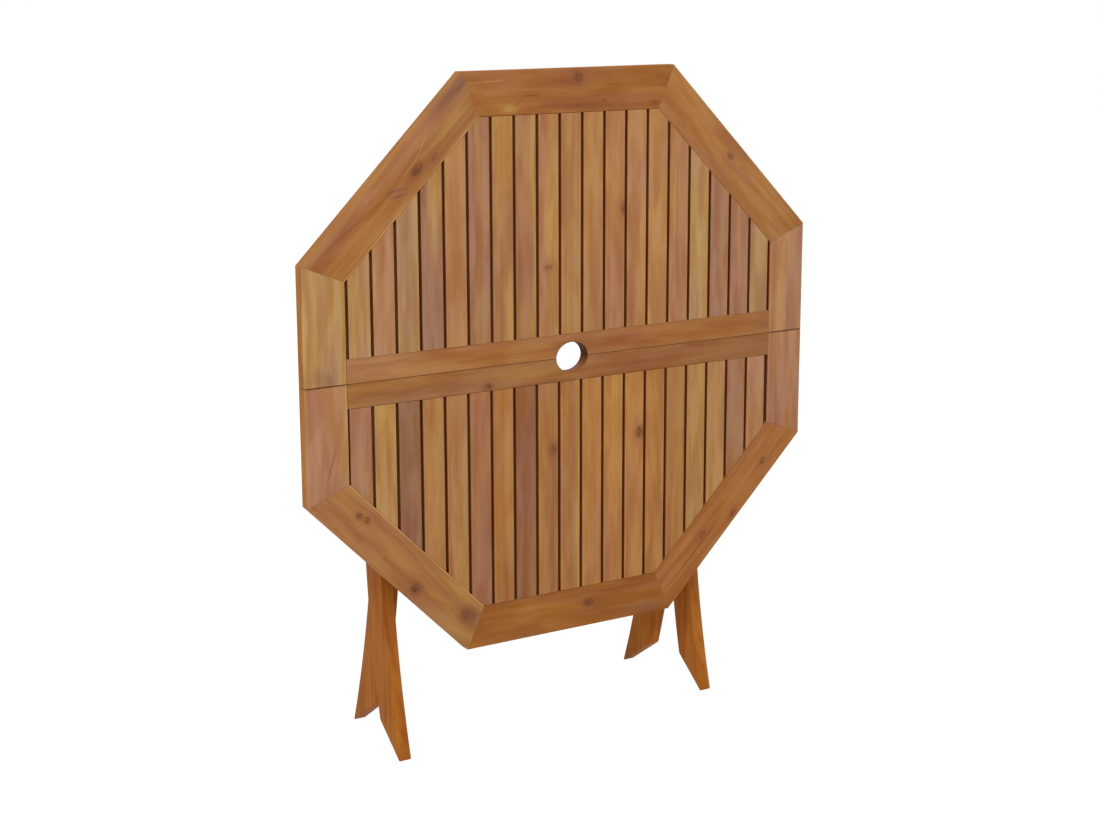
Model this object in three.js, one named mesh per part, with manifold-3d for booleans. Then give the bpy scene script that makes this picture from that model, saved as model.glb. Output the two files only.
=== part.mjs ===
// Octagonal folding umbrella table of slatted hardwood, stood on its feet with the top folded down.
// Millimetres. +X is right, +Y is back, +Z is up, and the floor is Z = 0. The top hangs in front
// of two crossed leg frames. Everything is laid out with the front face of the top at Y = 0, and
// the whole is then moved so that the origin lies under the middle of its outline.
import * as THREE from "three";
import { mergeVertices } from "three/addons/utils/BufferGeometryUtils.js";
import Module from "manifold-3d";

const wasm = await Module();
wasm.setup();

const DEGREE = Math.PI / 180;

// Top
const topWidth = 900;
const topHeight = 875;
const topThickness = 20;
const cornerCut = 262;
const stileWidth = 67.5;
const endRailWidth = 66;
const diagonalWidth = 67;
const midRailWidth = 36.5;
const slatsPerHalf = 19;
const cornerSlats = 4; // slats at each end of a half that share one pair of tongues
const slatGap = 5;
const lowerSlatShift = 2; // the lower slats sit this much to the left
const seamGap = 1;
const poleHoleRadius = 28;
const poleHoleInset = 4; // the half circles are cut this much short of full depth
const poleHoleChamfer = 2;
const grooveDepth = 7;
const grooveWidth = 7;
const frameRound = 3;
const slatArris = 1.2;

// Leg frames
const outerFrameWidth = 592;
const legThickness = 20.5;
const legGap = 1.3;
const outerLegWidth = 50;
const innerLegWidth = 58;
const legRadius = 1640; // both pairs of legs bow along this radius
const hingeHeight = 861;
const hingeAboveCentre = 255; // from the seam of the hanging top up to its hinge
const hingePlay = 2; // from the round end of an outer leg to the underside of the top
const pivotHeight = 454;
const pivotBehindStop = 37; // from the battens' backs to the pivot
const innerLegLean = 2.95 * DEGREE;
const crossbarSeat = 5.3; // from the battens' backs to the axis of the crossbar when open
const crossbarRadius = 12;
const crossbarMargin = 20; // wood past the axis of the crossbar
const footFlat = 2.5;
const outerOpenLean = 38.3 * DEGREE; // how far the outer frame turns to stand open

// Stretchers
const stretcherHeight = 42;
const innerStretcherThickness = 18;
const stretcherBelowPivot = 131;

// Battens
const battenThickness = 20.7;
const battenDepth = 50;
const battenGap = 1.5; // from a batten to the inner leg beside it
const battenEndDepth = 14;
const battenTail = 80; // past the hinge
const battenHingeWood = 12.5; // wood behind the hinge axis
const battenHingeLength = 15;
const battenShoulder = 50;
const battenBelowSeat = 30; // past the lower of the stop and the crossbar's notch

// Bolts
const boltRadius = 4;
const boltHeadRadius = 9;
const boltHeadHeight = 4.5;
const nutRadius = 7.5;
const nutHeight = 7;
const boltEnd = 2;
const sleeveRadius = 8;
const washerRadius = 14;
const washerThickness = 0.7;

const fit = 0.3; // clearance where two pieces meet
const overrun = 10; // how far a cutter runs past what it cuts
const weld = 1e-4; // corners closer than this are one

// Sizes that follow
const slatWidth = (topWidth - 2 * stileWidth - (slatsPerHalf + 1) * slatGap) / slatsPerHalf;
const topCentre = hingeHeight - hingeAboveCentre;
const hingeDepth = topThickness + hingePlay + outerLegWidth / 2;
const battenBack = topThickness + battenDepth;
const stopFace = battenBack + fit;
const pivotDepth = stopFace + pivotBehindStop;
const outerLegFace = outerFrameWidth / 2;
const outerLegInside = outerLegFace - legThickness;
const innerLegFace = outerLegInside - legGap;
const innerLegInside = innerLegFace - legThickness;
const battenFace = innerLegInside - battenGap;
const battenInside = battenFace - battenThickness;
const tongueDepth = grooveDepth - 2 * fit;
const tongueWidth = grooveWidth - 2 * fit;

// Finish
const oiledWood = (colour) =>
  new THREE.MeshStandardMaterial({ color: colour, roughness: 0.55, metalness: 0 });
const frameTone = 0xa4683a;
const legTone = 0xa5662c;
const hiddenTone = 0x8f5a2c;
const tan = 0xb2804b;
const gold = 0xb28a4f;
const pink = 0xa87255;
const red = 0xa0694b;
const brown = 0x9a6c48;
const mauve = 0x987061;
const upperTones = [
  tan, pink, pink, gold, tan, red, gold, brown, brown, gold,
  tan, pink, pink, gold, tan, gold, mauve, red, tan,
];
const lowerTones = [
  pink, gold, mauve, gold, gold, mauve, gold, red, tan, pink,
  gold, tan, pink, tan, red, gold, gold, mauve, tan,
];
const steel = new THREE.MeshStandardMaterial({ color: 0x9a9a96, roughness: 0.35, metalness: 1 });
const nylon = new THREE.MeshStandardMaterial({ color: 0xd8d4c8, roughness: 0.5, metalness: 0 });

// Solids
function solid(geometry) {
  const bare = geometry.clone();
  bare.deleteAttribute("normal");
  bare.deleteAttribute("uv");
  const merged = mergeVertices(bare, weld);
  return new wasm.Manifold(
    new wasm.Mesh({
      numProp: 3,
      vertProperties: new Float32Array(merged.attributes.position.array),
      triVerts: new Uint32Array(merged.index.array),
    }),
  );
}

function surface(made) {
  const mesh = made.getMesh();
  const geometry = new THREE.BufferGeometry();
  const position = new Float32Array(mesh.numVert * 3);
  for (let i = 0; i < mesh.numVert; i += 1) {
    const start = i * mesh.numProp;
    position.set(mesh.vertProperties.subarray(start, start + 3), i * 3);
  }
  geometry.setAttribute("position", new THREE.BufferAttribute(position, 3));
  geometry.setIndex(new THREE.BufferAttribute(new Uint32Array(mesh.triVerts), 1));
  geometry.computeVertexNormals();
  return geometry;
}

const point = (x, y) => new THREE.Vector2(x, y);

// The part of a convex outline on the near side of a line: dot(p, normal) <= reach.
function clip(outline, normal, reach) {
  const kept = [];
  outline.forEach((here, i) => {
    const next = outline[(i + 1) % outline.length];
    const a = here.dot(normal) - reach;
    const b = next.dot(normal) - reach;
    if (a <= 0) kept.push(here);
    if (a * b < 0) kept.push(here.clone().lerp(next, a / (a - b)));
  });
  return kept;
}

function rectangle(x0, x1, z0, z1) {
  return [point(x0, z0), point(x1, z0), point(x1, z1), point(x0, z1)];
}

// A prism on an outline in X and Z, from one depth to another.
function plate(outline, from, to) {
  const shape = new THREE.Shape(outline);
  const geometry = new THREE.ExtrudeGeometry(shape, { depth: to - from, bevelEnabled: false });
  return geometry.rotateX(Math.PI / 2).translate(0, to, 0);
}

// A prism on an outline in Y and Z, from one X to another.
function sidePiece(shape, from, to) {
  const geometry = new THREE.ExtrudeGeometry(shape, {
    depth: to - from,
    bevelEnabled: false,
    curveSegments: 8,
  });
  const turn = new THREE.Matrix4().makeBasis(
    new THREE.Vector3(0, 1, 0),
    new THREE.Vector3(0, 0, 1),
    new THREE.Vector3(1, 0, 0),
  );
  return geometry.applyMatrix4(turn).translate(from, 0, 0);
}

function block(x0, x1, y0, y1, z0, z1) {
  const geometry = new THREE.BoxGeometry(x1 - x0, y1 - y0, z1 - z0);
  return geometry.translate((x0 + x1) / 2, (y0 + y1) / 2, (z0 + z1) / 2);
}

// A ring or disc whose axis runs along X.
function ring(outer, bore, from, to, sides, y, z) {
  const shape = new THREE.Shape();
  shape.absarc(0, 0, outer, 0, 2 * Math.PI, false);
  if (bore > 0) {
    const hole = new THREE.Path();
    hole.absarc(0, 0, bore, 0, 2 * Math.PI, true);
    shape.holes.push(hole);
  }
  const geometry = new THREE.ExtrudeGeometry(shape, {
    depth: to - from,
    bevelEnabled: false,
    curveSegments: sides / 2,
  });
  return geometry.rotateY(Math.PI / 2).translate(from, y, z);
}

// A table folded: one group for each frame, all inside the model.
const model = new THREE.Group();
const top = new THREE.Group();
const outerFrame = new THREE.Group();
const innerFrame = new THREE.Group();
top.position.z = topCentre;
model.add(top, outerFrame, innerFrame);

function place(group, name, geometry, material) {
  const mesh = new THREE.Mesh(geometry, material);
  mesh.name = name;
  group.add(mesh);
}

// The eight sides of the top, as the way out of each and how far its inner edge lies from the centre.
const side = (turns, reach, width) => ({
  out: point(Math.cos((turns * Math.PI) / 4), Math.sin((turns * Math.PI) / 4)),
  inner: reach - width,
  outer: reach,
});
const diagonalReach = (topWidth / 2 + topHeight / 2 - cornerCut) / Math.SQRT2;
const octagon = [
  side(0, topWidth / 2, stileWidth),
  side(1, diagonalReach, diagonalWidth),
  side(2, topHeight / 2, endRailWidth),
  side(3, diagonalReach, diagonalWidth),
  side(4, topWidth / 2, stileWidth),
  side(5, diagonalReach, diagonalWidth),
  side(6, topHeight / 2, endRailWidth),
  side(7, diagonalReach, diagonalWidth),
];

// Where two lines dot(p, out) = reach cross.
function crossing(outA, reachA, outB, reachB) {
  const area = outA.cross(outB);
  return point((reachA * outB.y - reachB * outA.y) / area, (reachB * outA.x - reachA * outB.x) / area);
}

// The cut plane of the mitre between two neighbouring sides, with its normal towards the second.
function mitre(first, second) {
  const inner = crossing(first.out, first.inner, second.out, second.inner);
  const outer = crossing(first.out, first.outer, second.out, second.outer);
  const along = outer.clone().sub(inner).normalize();
  const normal = point(-along.y, along.x);
  return { normal, reach: inner.dot(normal) };
}

// A grooved length of framing. Its section has the groove on the inner edge and rounds on the outer.
function framing(inner, outer, out, roundSize) {
  const width = outer - inner;
  const half = topThickness / 2;
  const shape = new THREE.Shape();
  shape.moveTo(slatArris, 0);
  shape.lineTo(width - roundSize, 0);
  shape.absarc(width - roundSize, roundSize, roundSize, -Math.PI / 2, 0, false);
  shape.absarc(width - roundSize, topThickness - roundSize, roundSize, 0, Math.PI / 2, false);
  shape.lineTo(0, topThickness);
  shape.lineTo(0, half + grooveWidth / 2);
  shape.lineTo(grooveDepth, half + grooveWidth / 2);
  shape.lineTo(grooveDepth, half - grooveWidth / 2);
  shape.lineTo(0, half - grooveWidth / 2);
  shape.lineTo(0, slatArris);
  const length = topWidth + topHeight;
  const geometry = new THREE.ExtrudeGeometry(shape, {
    depth: length,
    bevelEnabled: false,
    curveSegments: 3,
  });
  const across = new THREE.Vector3(out.x, 0, out.y);
  const depth = new THREE.Vector3(0, 1, 0);
  const along = across.clone().cross(depth);
  const start = across.clone().multiplyScalar(inner).addScaledVector(along, -length / 2);
  return geometry.applyMatrix4(new THREE.Matrix4().makeBasis(across, depth, along).setPosition(start));
}

function trimmed(geometry, outline) {
  return solid(geometry).intersect(solid(plate(outline, -overrun, topThickness + overrun)));
}

const wide = topWidth + topHeight;
const everything = rectangle(-wide, wide, -wide, wide);
const seamReach = seamGap / 2;

function addFraming(name, index, half) {
  const here = octagon[index];
  const before = octagon[(index + 7) % 8];
  const after = octagon[(index + 1) % 8];
  const first = mitre(before, here);
  const last = mitre(here, after);
  let outline = clip(everything, first.normal.clone().negate(), -first.reach - fit / 2);
  outline = clip(outline, last.normal, last.reach - fit / 2);
  if (index % 4 === 0) outline = clip(outline, point(0, -half), -seamReach);
  const made = trimmed(framing(here.inner, here.outer, here.out, frameRound), outline);
  place(top, name, surface(made), oiledWood(frameTone));
}

addFraming("upper_end_rail", 2, 1);
addFraming("upper_right_diagonal", 1, 1);
addFraming("upper_left_diagonal", 3, 1);
addFraming("upper_right_stile", 0, 1);
addFraming("upper_left_stile", 4, 1);
addFraming("lower_end_rail", 6, -1);
addFraming("lower_right_diagonal", 7, -1);
addFraming("lower_left_diagonal", 5, -1);
addFraming("lower_right_stile", 0, -1);
addFraming("lower_left_stile", 4, -1);

// A mid rail lies along the seam, with tenons in the stiles and half of the umbrella hole.
function midRail(half) {
  const reach = topWidth / 2 - stileWidth - fit;
  const bar = framing(-midRailWidth, -seamReach, point(0, -half), slatArris);
  const body = trimmed(bar, rectangle(-reach, reach, -wide, wide));
  const low = seamReach + grooveDepth;
  const high = midRailWidth - grooveDepth - fit;
  const middle = topThickness / 2;
  const tenon = reach + fit + tongueDepth;
  const heights = half > 0 ? [low, high] : [-high, -low];
  const key = block(-tenon, tenon, middle - tongueWidth / 2, middle + tongueWidth / 2, ...heights);
  const run = topThickness + 2 * overrun;
  const hole = new THREE.CylinderGeometry(poleHoleRadius, poleHoleRadius, run, 48);
  hole.translate(0, middle, 0);
  const wider = poleHoleRadius + poleHoleChamfer;
  const mouth = new THREE.CylinderGeometry(poleHoleRadius, wider, poleHoleChamfer, 48);
  mouth.translate(0, poleHoleChamfer / 2, 0);
  const mouthBack = new THREE.CylinderGeometry(wider, poleHoleRadius, poleHoleChamfer, 48);
  mouthBack.translate(0, topThickness - poleHoleChamfer / 2, 0);
  let made = body.add(solid(key));
  for (const cutter of [hole, mouth, mouthBack]) {
    cutter.translate(0, 0, -half * poleHoleInset);
    made = made.subtract(solid(cutter));
  }
  return made;
}

place(top, "upper_mid_rail", surface(midRail(1)), oiledWood(frameTone));
place(top, "lower_mid_rail", surface(midRail(-1)), oiledWood(frameTone));

// The field of one half, inside its framing, moved out by a given amount.
function field(outline, half, out) {
  let kept = clip(outline, point(0, -half), -midRailWidth + out);
  for (const index of half > 0 ? [1, 2, 3] : [5, 6, 7]) {
    kept = clip(kept, octagon[index].out, octagon[index].inner + out);
  }
  return kept;
}

const slatPitch = slatWidth + slatGap;

function slatSpan(index, half) {
  const shift = half > 0 ? 0 : lowerSlatShift;
  const start = -topWidth / 2 + stileWidth + slatGap - shift + index * slatPitch;
  return [start, start + slatWidth];
}

function slat(index, half) {
  const [x0, x1] = slatSpan(index, half);
  const shape = new THREE.Shape([
    point(x0 + slatArris, 0),
    point(x1 - slatArris, 0),
    point(x1, slatArris),
    point(x1, topThickness),
    point(x0, topThickness),
    point(x0, slatArris),
  ]);
  const board = new THREE.ExtrudeGeometry(shape, { depth: topHeight, bevelEnabled: false });
  board.translate(0, 0, -topHeight / 2);
  return trimmed(board, field(rectangle(x0 - overrun, x1 + overrun, -wide, wide), half, -fit));
}

function tongue(x0, x1, half) {
  const middle = topThickness / 2;
  const outline = field(rectangle(x0 + slatArris, x1 - slatArris, -wide, wide), half, tongueDepth);
  return solid(plate(outline, middle - tongueWidth / 2, middle + tongueWidth / 2));
}

// One slat, or several slats whose tongues run on through the grooves between them.
function slatRun(first, last, half) {
  const from = slatSpan(first, half)[0];
  const to = slatSpan(last, half)[1];
  const open = field(rectangle(from - overrun, to + overrun, -wide, wide), half, fit);
  let made = tongue(from, to, half).subtract(solid(plate(open, -overrun, topThickness + overrun)));
  for (let i = first; i <= last; i += 1) {
    made = made.add(slat(i, half)).add(tongue(...slatSpan(i, half), half));
  }
  return made;
}

for (const [word, half, tones] of [["upper", 1, upperTones], ["lower", -1, lowerTones]]) {
  const tone = (i) => oiledWood(tones[i % tones.length]);
  const lastSlat = slatsPerHalf - 1;
  place(top, `${word}_left_corner_slats`, surface(slatRun(0, cornerSlats - 1, half)), tone(0));
  for (let i = cornerSlats; i <= lastSlat - cornerSlats; i += 1) {
    place(top, `${word}_slat_${i + 1}`, surface(slatRun(i, i, half)), tone(i));
  }
  const run = surface(slatRun(lastSlat - cornerSlats + 1, lastSlat, half));
  place(top, `${word}_right_corner_slats`, run, tone(lastSlat));
}

// Legs: side views in Y and Z, bowed about the pivot. The bow is 1 for a leg that bulges back.
const pivot = point(pivotDepth, pivotHeight);
const hinge = point(hingeDepth, hingeHeight);

function legLine(lean, bow) {
  const up = point(Math.sin(lean), Math.cos(lean));
  const back = point(Math.cos(lean), -Math.sin(lean));
  const centre = pivot.clone().addScaledVector(back, -bow * legRadius);
  const way = (turn) =>
    back.clone().multiplyScalar(bow * Math.cos(turn)).addScaledVector(up, Math.sin(turn));
  return {
    centre,
    at: (offset, turn) => centre.clone().addScaledVector(way(turn), legRadius + bow * offset),
    back: (turn) => way(turn).multiplyScalar(bow),
    up: (turn) => point(-bow * way(turn).y, bow * way(turn).x),
    floorTurn: (offset) => Math.asin(-centre.y / (legRadius + bow * offset)) + bow * lean,
    radius: (offset) => legRadius + bow * offset,
  };
}

// Where a ray from a point first meets a circle.
function meet(from, direction, centre, radius) {
  const offset = from.clone().sub(centre);
  const b = offset.dot(direction);
  const root = Math.sqrt(b * b - offset.lengthSq() + radius * radius);
  const nearest = [-b - root, -b + root].filter((reach) => reach > 0)[0];
  return from.clone().addScaledVector(direction, nearest);
}

const turned = (p, about, angle) => p.clone().rotateAround(about, angle);
const bowAngle = (reach) => 2 * Math.asin(reach / (2 * legRadius));

const toHinge = hinge.clone().sub(pivot);
const hingeReach = toHinge.length();
const outerLegLean = Math.atan(toHinge.x / toHinge.y) + bowAngle(hingeReach) / 2;
const outerLine = legLine(outerLegLean, 1);
const innerLine = legLine(-innerLegLean, -1);
const hingeTurn = bowAngle(hingeReach);

// A foot stands on a narrow flat when folded and on its cut face when open.
const outerTip = outerLine.at(-outerLegWidth / 2, outerLine.floorTurn(-outerLegWidth / 2));
const innerTip = innerLine.at(innerLegWidth / 2, innerLine.floorTurn(innerLegWidth / 2));
const outerHeelStart = point(outerTip.x + footFlat, outerTip.y);
const innerHeelStart = point(innerTip.x - footFlat, innerTip.y);
const outerStep = pivotDepth - outerHeelStart.x;
const innerStep = innerHeelStart.x - pivotDepth;
const openPivotHeight =
  pivotHeight * Math.cos(outerOpenLean) - outerStep * Math.sin(outerOpenLean);
const innerOpenLean =
  Math.acos(openPivotHeight / Math.hypot(pivotHeight, innerStep)) - Math.atan(innerStep / pivotHeight);
const openTilt = Math.PI / 2 - outerOpenLean;
const openSpread = outerOpenLean + innerOpenLean;

// The crossbar is where the bowed line of the inner legs, with the table open, comes to its seat
// in the battens. It is found as seen from the top, and turned back to where it lies folded.
const openCentre = turned(turned(innerLine.centre, pivot, openSpread), hinge, openTilt);
const seatDepth = battenBack + crossbarSeat;
const seatDrop = Math.sqrt(legRadius * legRadius - (seatDepth - openCentre.x) ** 2);
const crossbarOpen = point(seatDepth, openCentre.y - seatDrop);
const crossbar = turned(turned(crossbarOpen, hinge, -openTilt), pivot, -openSpread);
const crossbarTurn = bowAngle(crossbar.distanceTo(pivot));

const edgeSteps = 14;
const roundSteps = 8;

function boltHole(shape, centre, radius) {
  const hole = new THREE.Path();
  hole.absarc(centre.x, centre.y, radius, 0, 2 * Math.PI, true);
  shape.holes.push(hole);
}

function edgePoints(line, offset, fromTurn, toTurn) {
  const points = [];
  for (let i = 0; i <= edgeSteps; i += 1) {
    points.push(line.at(offset, fromTurn + ((toTurn - fromTurn) * i) / edgeSteps));
  }
  return points;
}

// Points round a corner about a centre, from one angle to another in the frame of the leg's line.
function cornerPoints(centre, radius, back, up, fromAngle, toAngle) {
  const points = [];
  for (let i = 1; i < roundSteps; i += 1) {
    const angle = fromAngle + ((toAngle - fromAngle) * i) / roundSteps;
    const spot = centre.clone().addScaledVector(back, radius * Math.cos(angle));
    points.push(spot.addScaledVector(up, radius * Math.sin(angle)));
  }
  return points;
}

function turnAt(line, spot, lean, bow) {
  const offset = spot.clone().sub(line.centre);
  return Math.asin(offset.y / offset.length()) + bow * lean;
}

function outerLegShape() {
  const half = outerLegWidth / 2;
  const rise = point(Math.cos(outerOpenLean), Math.sin(outerOpenLean));
  const heel = meet(outerHeelStart, rise, outerLine.centre, outerLine.radius(half));
  const heelTurn = turnAt(outerLine, heel, outerLegLean, 1);
  const back = outerLine.back(hingeTurn);
  const up = outerLine.up(hingeTurn);
  const shape = new THREE.Shape([
    outerHeelStart,
    ...edgePoints(outerLine, half, heelTurn, hingeTurn),
    ...cornerPoints(hinge, half, back, up, 0, Math.PI),
    ...edgePoints(outerLine, -half, hingeTurn, outerLine.floorTurn(-half)),
  ]);
  boltHole(shape, pivot, boltRadius + fit);
  boltHole(shape, hinge, boltRadius + fit);
  return shape;
}

function innerLegShape() {
  const half = innerLegWidth / 2;
  const rise = point(-Math.cos(innerOpenLean), Math.sin(innerOpenLean));
  const heel = meet(innerHeelStart, rise, innerLine.centre, innerLine.radius(-half));
  const heelTurn = turnAt(innerLine, heel, -innerLegLean, -1);
  const back = innerLine.back(crossbarTurn);
  const up = innerLine.up(crossbarTurn);
  const reach = half - crossbarMargin;
  const cornerBack = crossbar.clone().addScaledVector(back, reach);
  const cornerFront = crossbar.clone().addScaledVector(back, -reach);
  const shape = new THREE.Shape([
    ...edgePoints(innerLine, half, innerLine.floorTurn(half), crossbarTurn),
    ...cornerPoints(cornerBack, crossbarMargin, back, up, 0, Math.PI / 2),
    cornerBack.clone().addScaledVector(up, crossbarMargin),
    cornerFront.clone().addScaledVector(up, crossbarMargin),
    ...cornerPoints(cornerFront, crossbarMargin, back, up, Math.PI / 2, Math.PI),
    ...edgePoints(innerLine, -half, crossbarTurn, heelTurn),
    innerHeelStart,
  ]);
  boltHole(shape, pivot, boltRadius + fit);
  boltHole(shape, crossbar, crossbarRadius + fit);
  return shape;
}

// The outer stretcher is let into the front edges of the outer legs. The battens rest on its front,
// and the inner legs rest on its back.
const stretcherLow = pivotHeight - stretcherBelowPivot - stretcherHeight / 2;
const stretcherHigh = stretcherLow + stretcherHeight;
const innerLegFront = innerLine.radius(-innerLegWidth / 2);
const legTurnAtStop = Math.asin((stretcherHigh - innerLine.centre.y) / innerLegFront);
const stopBack = innerLine.centre.x - innerLegFront * Math.cos(legTurnAtStop) - fit;
const housing = block(
  -outerLegFace - overrun,
  outerLegFace + overrun,
  stopFace - overrun,
  stopBack + fit,
  stretcherLow - fit,
  stretcherHigh + fit,
);
const stretcher = block(-outerLegFace, outerLegFace, stopFace, stopBack, stretcherLow, stretcherHigh);
place(outerFrame, "outer_stretcher", stretcher, oiledWood(hiddenTone));

// The inner stretcher stands square between the inner legs, on their line.
const innerStretcherTurn = -Math.asin((pivotHeight - stretcherLow - stretcherHeight / 2) / legRadius);
const innerStretcherSpot = innerLine.at(0, innerStretcherTurn);
const innerStretcher = block(
  -innerLegInside + fit,
  innerLegInside - fit,
  -innerStretcherThickness / 2,
  innerStretcherThickness / 2,
  -stretcherHeight / 2,
  stretcherHeight / 2,
);
const innerWay = innerLine.up(innerStretcherTurn);
innerStretcher.rotateX(Math.atan2(innerWay.y, innerWay.x) - Math.PI / 2);
innerStretcher.translate(0, innerStretcherSpot.x, innerStretcherSpot.y);
place(innerFrame, "inner_stretcher", innerStretcher, oiledWood(hiddenTone));

const barEnd = innerLegFace - fit;
const barSides = 24;
const bar = ring(crossbarRadius, 0, -barEnd, barEnd, barSides, crossbar.x, crossbar.y);
place(innerFrame, "crossbar", bar, oiledWood(legTone));

// A batten in side view, from its lower end up to its tail past the hinge.
function battenShape() {
  const face = topThickness + fit;
  const hingeBack = hingeDepth + battenHingeWood;
  const endFace = topThickness + battenEndDepth;
  const notchRadius = crossbarRadius + fit;
  const notchTurn = Math.acos(crossbarSeat / notchRadius);
  const seatLow = Math.min(stretcherLow, crossbarOpen.y - notchRadius);
  const lowEnd = seatLow - battenBelowSeat;
  const shape = new THREE.Shape();
  shape.moveTo(face, lowEnd);
  shape.lineTo(endFace, lowEnd);
  shape.lineTo(battenBack, seatLow);
  shape.absarc(
    crossbarOpen.x,
    crossbarOpen.y,
    notchRadius,
    Math.PI + notchTurn,
    Math.PI - notchTurn,
    true,
  );
  shape.lineTo(battenBack, hingeHeight - battenHingeLength - battenShoulder);
  shape.lineTo(hingeBack, hingeHeight - battenHingeLength);
  shape.lineTo(hingeBack, hingeHeight + battenHingeLength);
  shape.lineTo(endFace, hingeHeight + battenTail);
  shape.lineTo(face, hingeHeight + battenTail);
  boltHole(shape, hinge, boltRadius + fit);
  return shape;
}

// A bolt with a domed head, drawn up the Y axis and turned to point into the table.
function bolt(length) {
  const rise = 6;
  const profile = [point(0, -length), point(boltRadius, -length), point(boltRadius, 0)];
  for (let i = 0; i <= rise; i += 1) {
    const angle = (i / rise) * (Math.PI / 2);
    profile.push(point(boltHeadRadius * Math.cos(angle), boltHeadHeight * Math.sin(angle)));
  }
  profile[profile.length - 1].x = 0;
  return new THREE.LatheGeometry(profile, 20);
}

function hexNut(from) {
  const shape = new THREE.Shape();
  for (let i = 0; i < 6; i += 1) {
    const corner = point(nutRadius, 0).rotateAround(point(0, 0), (i * Math.PI) / 3);
    if (i === 0) shape.moveTo(corner.x, corner.y);
    else shape.lineTo(corner.x, corner.y);
  }
  boltHole(shape, point(0, 0), boltRadius + fit);
  const geometry = new THREE.ExtrudeGeometry(shape, {
    depth: nutHeight,
    bevelEnabled: false,
    curveSegments: 10,
  });
  return geometry.rotateY(Math.PI / 2).translate(from, 0, 0);
}

// Legs, battens and bolts on both sides. A side of -1 is the left.
for (const [word, hand] of [["left", -1], ["right", 1]]) {
  const span = (a, b) => (hand > 0 ? [a, b] : [-b, -a]);
  const outerLeg = solid(sidePiece(outerLegShape(), ...span(outerLegInside, outerLegFace)));
  place(outerFrame, `outer_${word}_leg`, surface(outerLeg.subtract(solid(housing))), oiledWood(legTone));
  const innerLeg = sidePiece(innerLegShape(), ...span(innerLegInside, innerLegFace));
  place(innerFrame, `inner_${word}_leg`, innerLeg, oiledWood(legTone));
  const batten = sidePiece(battenShape(), ...span(battenInside, battenFace));
  batten.translate(0, 0, -topCentre);
  place(top, `${word}_batten`, batten, oiledWood(hiddenTone));

  const addBolt = (name, spot, inside) => {
    const head = outerLegFace + fit;
    const length = head - inside + fit + nutHeight + boltEnd;
    const shank = bolt(length).rotateZ((-hand * Math.PI) / 2).translate(hand * head, spot.x, spot.y);
    place(outerFrame, `${word}_${name}_bolt`, shank, steel);
    const nut = hexNut(hand > 0 ? inside - fit - nutHeight : -inside + fit);
    place(outerFrame, `${word}_${name}_nut`, nut.translate(0, spot.x, spot.y), steel);
  };
  addBolt("pivot", pivot, innerLegInside);
  addBolt("hinge", hinge, battenInside);

  const sleeveSpan = span(battenFace + fit, outerLegInside - fit);
  const sleeve = ring(sleeveRadius, boltRadius + fit, ...sleeveSpan, 24, hinge.x, hinge.y);
  place(outerFrame, `${word}_hinge_sleeve`, sleeve, steel);
  const washerSpan = span(innerLegFace + fit, innerLegFace + fit + washerThickness);
  const washer = ring(washerRadius, boltRadius + fit, ...washerSpan, 24, pivot.x, pivot.y);
  place(outerFrame, `${word}_pivot_washer`, washer, nylon);
}

// The origin is on the floor, under the middle of the outline.
model.updateMatrixWorld(true);
const outline = new THREE.Box3().setFromObject(model);
model.position.y = -(outline.min.y + outline.max.y) / 2;

export default model;
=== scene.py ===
"""Octagonal folding umbrella table in oiled hardwood, stood on its feet with its top hanging.

Sizes are millimetres: x to the right, y back from the front face of the top, z up from the floor.
Each mesh is turned into metres in the frame of the solid model at the end.
"""

import math

import bmesh
import bpy
import numpy as np
from mathutils import Matrix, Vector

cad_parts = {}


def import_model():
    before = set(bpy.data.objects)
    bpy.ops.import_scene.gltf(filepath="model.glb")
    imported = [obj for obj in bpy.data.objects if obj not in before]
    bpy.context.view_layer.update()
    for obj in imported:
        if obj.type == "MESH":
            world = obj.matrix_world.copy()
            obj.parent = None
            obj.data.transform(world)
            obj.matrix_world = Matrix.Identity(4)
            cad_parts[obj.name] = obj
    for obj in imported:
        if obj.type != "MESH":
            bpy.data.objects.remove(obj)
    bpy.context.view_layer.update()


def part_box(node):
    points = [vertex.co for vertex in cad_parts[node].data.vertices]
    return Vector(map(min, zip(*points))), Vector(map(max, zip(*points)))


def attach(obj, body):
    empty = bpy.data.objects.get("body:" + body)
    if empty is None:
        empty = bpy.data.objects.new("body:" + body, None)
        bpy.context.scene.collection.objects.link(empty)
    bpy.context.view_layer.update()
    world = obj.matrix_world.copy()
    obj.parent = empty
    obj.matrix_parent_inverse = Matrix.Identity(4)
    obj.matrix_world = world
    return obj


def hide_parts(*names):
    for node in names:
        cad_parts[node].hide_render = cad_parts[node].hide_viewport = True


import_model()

MM = 0.001
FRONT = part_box("upper_end_rail")[0].y
CENTRE = 606.0  # height of the seam of the hanging top
MERGED = 2e-6  # metres between points that are one
SHARP = math.radians(32)

# Top
TOP_WIDTH, TOP_HEIGHT, CORNER_CUT, THICK = 900.0, 875.0, 262.0, 20.0
STILE, END_RAIL, DIAGONAL, MID_RAIL = 67.5, 66.0, 67.0, 36.5
SLATS, CORNER_SLATS, SLAT, GAP, LOWER_SHIFT = 19, 4, 35.0, 5.0, 2.0
SEAM, FIT, JOINT = 0.3, 0.3, 0.12
HOLE_WIDE, HOLE_HIGH, HOLE_SHIFT = 27.7, 23.2, 1.0  # half width, half height and centre in x
GROOVE, GROOVE_WIDE, TONGUE, TONGUE_WIDE = 7.0, 7.0, 6.4, 6.4
ARRIS, OUTER_ROUND, EASE, SEAM_ROUND, HOLE_ROUND = 1.4, 2.4, 0.2, 0.7, 1.2
SLAT_ROUND, SLAT_BACK, SLAT_WAIST, BACK_EASE = 1.6, 0.8, 1.2, 0.4

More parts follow.
